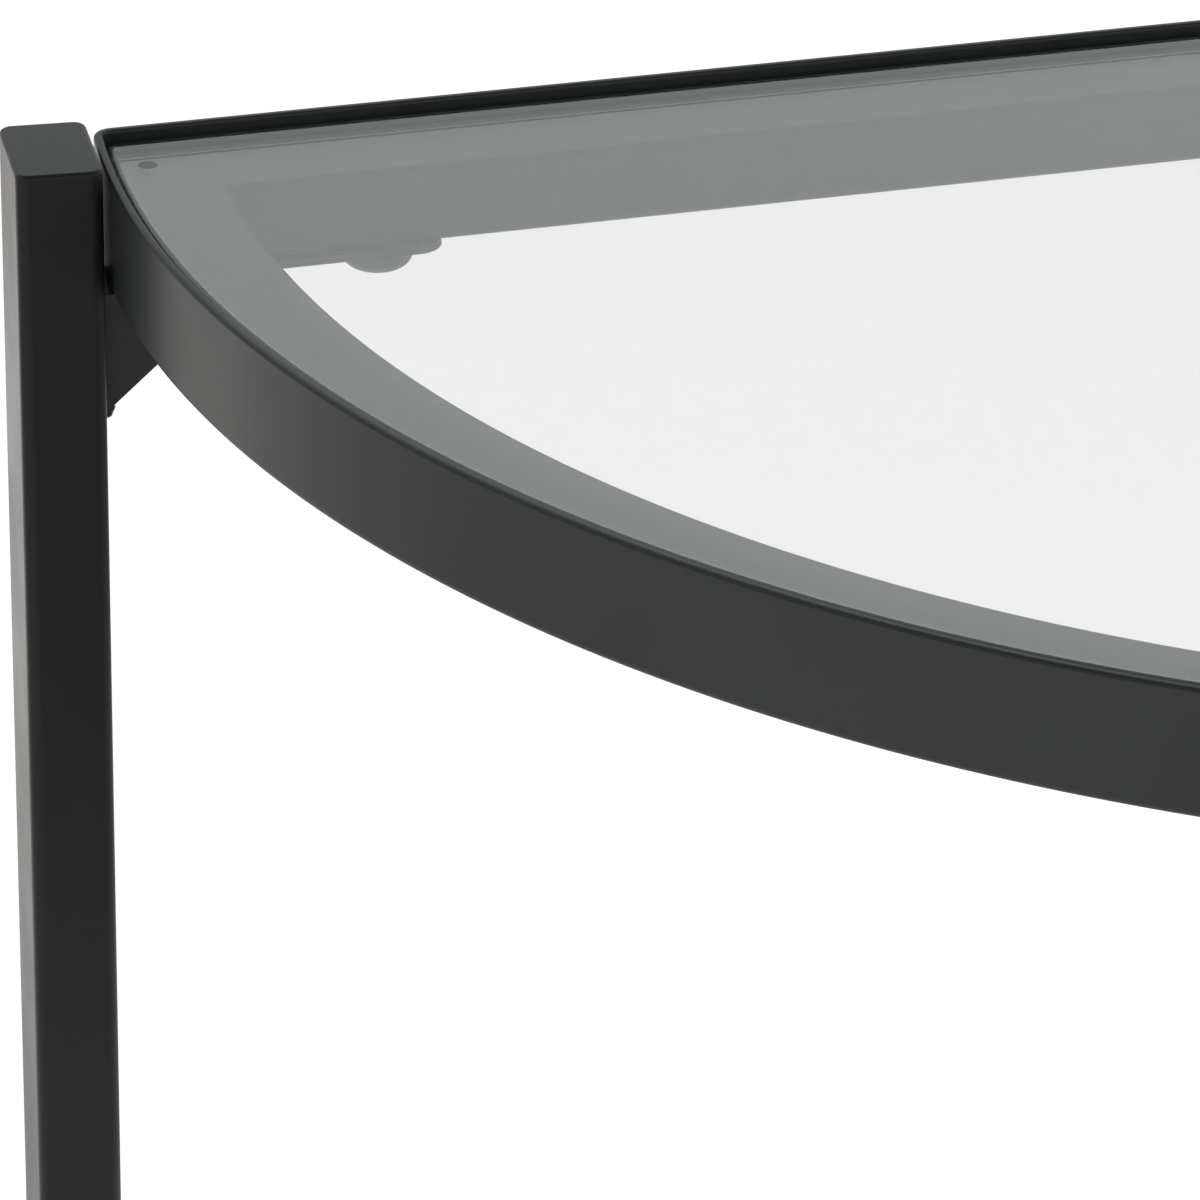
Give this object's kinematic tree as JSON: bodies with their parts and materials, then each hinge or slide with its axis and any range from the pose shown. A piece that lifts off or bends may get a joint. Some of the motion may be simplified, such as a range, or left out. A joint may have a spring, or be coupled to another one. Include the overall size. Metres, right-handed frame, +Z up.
{
  "type": "demilune console table",
  "caption": "Half-round console table: rebated steel ring and back rail holding a clear glass top, on flat-tube legs with gusseted bolt-on brackets and levelling feet.",
  "frame": {"origin": "on the floor, under the middle of the table's outline", "axes": "+Z up, +Y towards the wall side (the straight back rail), +X to the right for someone who stands in front"},
  "size_m": [0.734, 0.3928, 0.762],
  "materials": {
    "frame_paint": "satin charcoal powder coat",
    "clear_glass": "polished, clear, green at the edges",
    "clear_silicone": "clear, smooth",
    "black_steel": "black oxide",
    "zinc_steel": "zinc plated",
    "black_plastic": "moulded, matt",
    "foot_plastic": "moulded, matt"
  },
  "bodies": {
    "frame": {"half_ring": "frame_paint", "back_rail": "frame_paint", "left_back_leg": "frame_paint", "left_back_cap": "frame_paint", "left_back_bracket": "frame_paint", "left_back_gusset": "frame_paint", "left_front_leg": "frame_paint", "left_front_cap": "frame_paint", "left_front_bracket": "frame_paint", "left_front_gusset": "frame_paint", "right_front_leg": "frame_paint", "right_front_cap": "frame_paint", "right_front_bracket": "frame_paint", "right_front_gusset": "frame_paint", "right_back_leg": "frame_paint", "right_back_cap": "frame_paint", "right_back_bracket": "frame_paint", "right_back_gusset": "frame_paint", "glass_bumpers": "clear_silicone", "bracket_bolts": "black_steel", "rivet_nuts": "zinc_steel", "left_back_insert": "black_plastic", "left_front_insert": "black_plastic", "right_front_insert": "black_plastic", "right_back_insert": "black_plastic"},
    "glass": {"glass_top": "clear_glass"},
    "left_back_levelling_foot": {"left_back_foot": "foot_plastic"},
    "left_front_levelling_foot": {"left_front_foot": "foot_plastic"},
    "right_front_levelling_foot": {"right_front_foot": "foot_plastic"},
    "right_back_levelling_foot": {"right_back_foot": "foot_plastic"}
  },
  "joints": [
    {"name": "glass_lift", "type": "slide", "parent": "frame", "child": "glass", "axis": [0, 0, 1], "range_m": [0, 0.06]},
    {"name": "left_back_levelling", "type": "slide", "parent": "frame", "child": "left_back_levelling_foot", "axis": [0, 0, -1], "range_m": [0, 0.008]},
    {"name": "left_front_levelling", "type": "slide", "parent": "frame", "child": "left_front_levelling_foot", "axis": [0, 0, -1], "range_m": [0, 0.008]},
    {"name": "right_front_levelling", "type": "slide", "parent": "frame", "child": "right_front_levelling_foot", "axis": [0, 0, -1], "range_m": [0, 0.008]},
    {"name": "right_back_levelling", "type": "slide", "parent": "frame", "child": "right_back_levelling_foot", "axis": [0, 0, -1], "range_m": [0, 0.008]}
  ]
}
